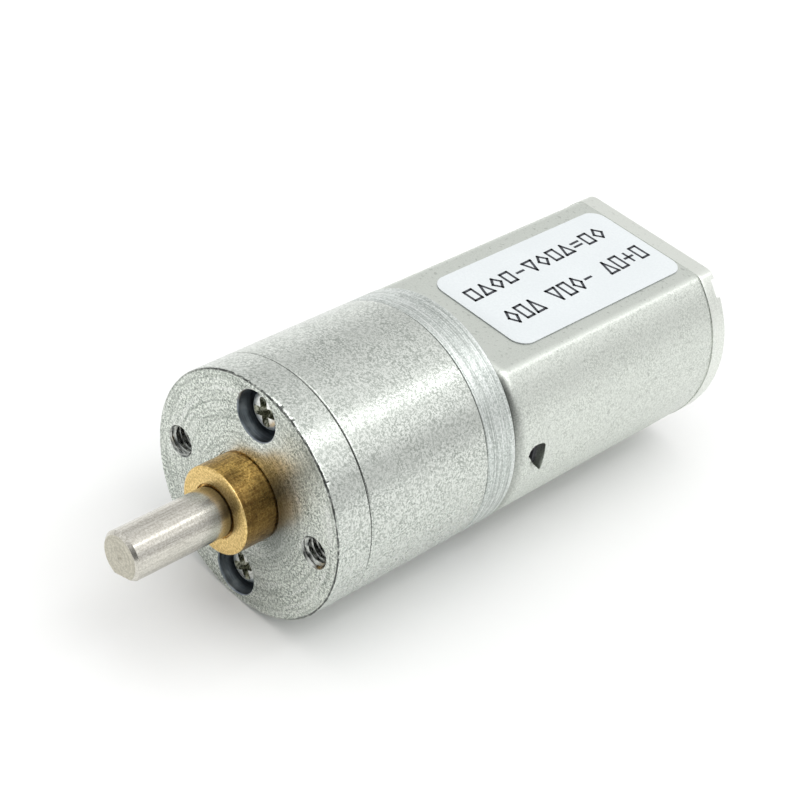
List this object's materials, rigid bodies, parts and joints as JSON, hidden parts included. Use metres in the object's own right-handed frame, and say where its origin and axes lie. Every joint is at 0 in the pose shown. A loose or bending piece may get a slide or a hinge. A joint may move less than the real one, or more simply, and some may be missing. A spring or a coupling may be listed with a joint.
{
  "type": "geared dc motor",
  "caption": "Round spur gearbox on a flat-sided DC motor, with a D-cut output shaft in a brass bush, tapped face holes and rear solder tabs.",
  "frame": {"origin": "centre of the mounting face, on the output shaft's axis", "axes": "-Y along the output shaft, away from the gearbox; +Y towards the motor; +Z out of the upper motor flat, which carries the label; +X through one of the tapped holes"},
  "size_m": [0.02, 0.0585, 0.02],
  "materials": {
    "zinc_alloy": "as-cast and turned zinc alloy, bare, satin, fine mottle",
    "can_steel": "zinc-plated drawn steel, satin, fine speckle",
    "bush_brass": "turned brass, slightly tarnished",
    "shaft_steel": "ground steel, bright",
    "screw_steel": "zinc-plated steel, bright",
    "shim_steel": "spring steel, satin",
    "gear_steel": "hobbed steel, oiled",
    "gear_brass": "turned brass, bright",
    "bearing_bronze": "sintered bronze, matt",
    "ferrite": "ferrite magnet, matt dark grey",
    "spring_steel": "spring steel, satin",
    "cap_plastic": "moulded plastic, matt black",
    "terminal_brass": "pressed brass strip, tin washed",
    "carbon": "graphite, matt",
    "core_steel": "stacked silicon steel, satin",
    "insulator": "insulating fibre, matt",
    "enamelled_wire": "enamelled copper wire, glossy",
    "copper": "copper, satin",
    "varistor": "sintered disc, matt",
    "label_film": "white film label, satin gloss"
  },
  "bodies": {
    "housing": {"front_plate": "zinc_alloy", "gear_case": "zinc_alloy", "rear_plate": "zinc_alloy", "output_bush": "bush_brass", "thrust_washer": "shim_steel", "cover_screws": "screw_steel", "motor_screws": "screw_steel", "gear_pin_upper": "shaft_steel", "gear_pin_lower": "shaft_steel", "pin_sleeve_upper": "gear_brass", "pin_sleeve_lower": "gear_brass", "pin_shims": "shim_steel", "motor_can": "can_steel", "front_bearing": "bearing_bronze", "rear_bearing": "bearing_bronze", "magnet_left": "ferrite", "magnet_right": "ferrite", "magnet_clips": "spring_steel", "end_cap": "cap_plastic", "terminal_left": "terminal_brass", "terminal_right": "terminal_brass", "brushes": "carbon", "label": "label_film"},
    "output": {"output_shaft": "shaft_steel", "output_gear": "gear_steel"},
    "fourth_gear": {"fourth_gear_wheel": "gear_steel", "fourth_gear_pinion": "gear_steel"},
    "third_gear": {"third_gear_wheel": "gear_steel", "third_gear_pinion": "gear_steel"},
    "second_gear": {"second_gear_wheel": "gear_steel", "second_gear_pinion": "gear_steel"},
    "first_gear": {"first_gear_wheel": "gear_steel", "first_gear_pinion": "gear_steel"},
    "rotor": {"rotor_shaft": "shaft_steel", "motor_pinion": "gear_brass", "armature_core": "core_steel", "slot_insulators": "insulator", "windings": "enamelled_wire", "commutator_hub": "cap_plastic", "commutator_segments": "copper", "varistor_disc": "varistor", "rotor_washers": "insulator", "rotor_collar": "cap_plastic"}
  },
  "joints": [
    {"name": "output_spin", "type": "hinge", "parent": "housing", "child": "output", "pos_m": [0, 0, 0], "axis": [0, -1, 0], "continuous": true},
    {"name": "fourth_gear_spin", "type": "hinge", "parent": "housing", "child": "fourth_gear", "pos_m": [0.0039, 0, -0.00225], "axis": [0, -1, 0], "continuous": true},
    {"name": "third_gear_spin", "type": "hinge", "parent": "housing", "child": "third_gear", "pos_m": [0.0039, 0, 0.00225], "axis": [0, -1, 0], "continuous": true},
    {"name": "second_gear_spin", "type": "hinge", "parent": "housing", "child": "second_gear", "pos_m": [0.0039, 0, -0.00225], "axis": [0, -1, 0], "continuous": true},
    {"name": "first_gear_spin", "type": "hinge", "parent": "housing", "child": "first_gear", "pos_m": [0.0039, 0, 0.00225], "axis": [0, -1, 0], "continuous": true},
    {"name": "rotor_spin", "type": "hinge", "parent": "housing", "child": "rotor", "pos_m": [0, 0, 0], "axis": [0, -1, 0], "continuous": true}
  ],
  "couplings": [
    {"joint": "fourth_gear_spin", "follows": "output_spin", "ratio": -2.6},
    {"joint": "third_gear_spin", "follows": "output_spin", "ratio": 6.76},
    {"joint": "second_gear_spin", "follows": "output_spin", "ratio": -17.576},
    {"joint": "first_gear_spin", "follows": "output_spin", "ratio": 45.698},
    {"joint": "rotor_spin", "follows": "output_spin", "ratio": -91.395}
  ]
}
